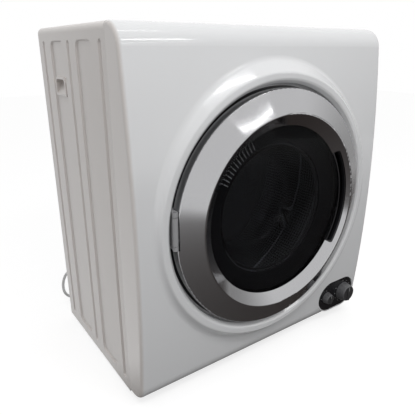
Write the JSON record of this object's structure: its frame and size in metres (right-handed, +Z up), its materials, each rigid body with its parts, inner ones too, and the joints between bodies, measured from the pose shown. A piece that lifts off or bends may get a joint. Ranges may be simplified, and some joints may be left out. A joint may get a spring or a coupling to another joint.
{
  "type": "electric clothes dryer",
  "caption": "Compact vented clothes dryer: bowed white front, round silver-ringed door with dark window, ribbed side sheets, belt-driven drum, timer and heat knobs, rear duct outlet.",
  "frame": {"origin": "on the floor, at the middle of the machine's box in plan, its cord left out", "axes": "+Z up, the door faces -Y, the right side seen from the front faces +X"},
  "size_m": [0.6024, 0.5438, 0.672],
  "materials": {
    "white_enamel": "gloss",
    "white_plastic": "gloss",
    "silver_plastic": "satin metallic",
    "black_plastic": "gloss",
    "dark_plastic": "satin",
    "tinted_glass": "tinted",
    "clear_glass": "clear",
    "zinc_sheet": "zinc coated",
    "steel": "bright",
    "cast_aluminium": "cast",
    "grey_plastic": "matte",
    "bronze": "sintered",
    "rubber": "matte",
    "felt": "felt"
  },
  "bodies": {
    "cabinet": {"base_pan": "zinc_sheet", "left_side_panel": "white_enamel", "right_side_panel": "white_enamel", "top_cover": "white_enamel", "rear_panel": "zinc_sheet", "panel_screws": "steel", "rubber_feet": "rubber", "front_panel": "white_plastic", "control_plate": "black_plastic", "timer_body": "dark_plastic", "heat_switch_body": "dark_plastic", "front_bulkhead": "zinc_sheet", "front_felt_seal": "felt", "rear_bulkhead": "zinc_sheet", "rear_felt_seal": "felt", "fan_housing": "grey_plastic", "exhaust_spigot": "zinc_sheet", "heater_housing": "zinc_sheet", "heater_element": "cast_aluminium", "thermal_cutouts": "cast_aluminium", "rear_brace": "zinc_sheet", "bearing_bush": "bronze", "drum_belt": "rubber", "fan_belt": "rubber", "motor_housing": "cast_aluminium", "motor_cradle": "zinc_sheet", "motor_grommets": "rubber", "capacitor": "cast_aluminium", "hinge_bracket": "silver_plastic", "hinge_pin": "steel", "door_latch": "dark_plastic", "terminal_block": "dark_plastic", "cord_gland": "white_plastic", "power_cord": "white_plastic", "cord_coil": "white_plastic", "cord_tie": "dark_plastic", "power_plug": "white_plastic"},
    "drum": {"drum_shell": "steel", "drum_back": "steel", "drum_lifters": "grey_plastic", "lint_filter": "dark_plastic", "drum_hub": "cast_aluminium", "drum_shaft": "steel"},
    "fan": {"fan_wheel": "grey_plastic", "fan_pulley": "grey_plastic"},
    "rotor": {"motor_shaft": "steel", "drum_belt_pulley": "steel", "fan_belt_pulley": "cast_aluminium"},
    "door": {"door_ring": "silver_plastic", "door_grip": "black_plastic", "door_window": "tinted_glass", "door_liner": "black_plastic", "door_bowl": "clear_glass", "door_gasket": "rubber", "hinge_leaf": "silver_plastic", "door_striker": "dark_plastic"},
    "timer": {"timer_knob": "dark_plastic", "timer_shaft": "steel"},
    "heat": {"heat_knob": "dark_plastic"}
  },
  "joints": [
    {"name": "door_swing", "type": "hinge", "parent": "cabinet", "child": "door", "pos_m": [-0.232, -0.207, 0.352], "axis": [0, 0, -1], "range_deg": [0, 125]},
    {"name": "drum_spin", "type": "hinge", "parent": "cabinet", "child": "drum", "pos_m": [0, 0, 0.338], "axis": [0, 1, 0], "continuous": true},
    {"name": "motor_spin", "type": "hinge", "parent": "cabinet", "child": "rotor", "pos_m": [0.205, 0.1165, 0.072], "axis": [0, 1, 0], "continuous": true},
    {"name": "fan_spin", "type": "hinge", "parent": "cabinet", "child": "fan", "pos_m": [0, 0.15, 0.338], "axis": [0, 1, 0], "continuous": true},
    {"name": "timer_turn", "type": "hinge", "parent": "cabinet", "child": "timer", "pos_m": [0.2535, -0.189, 0.07], "axis": [0, -1, 0], "range_deg": [-300, 0]},
    {"name": "heat_turn", "type": "hinge", "parent": "cabinet", "child": "heat", "pos_m": [0.1955, -0.189, 0.07], "axis": [0, -1, 0], "range_deg": [-90, 90]}
  ],
  "couplings": [
    {"joint": "motor_spin", "follows": "drum_spin", "ratio": 24.211},
    {"joint": "fan_spin", "follows": "drum_spin", "ratio": 21.363}
  ]
}
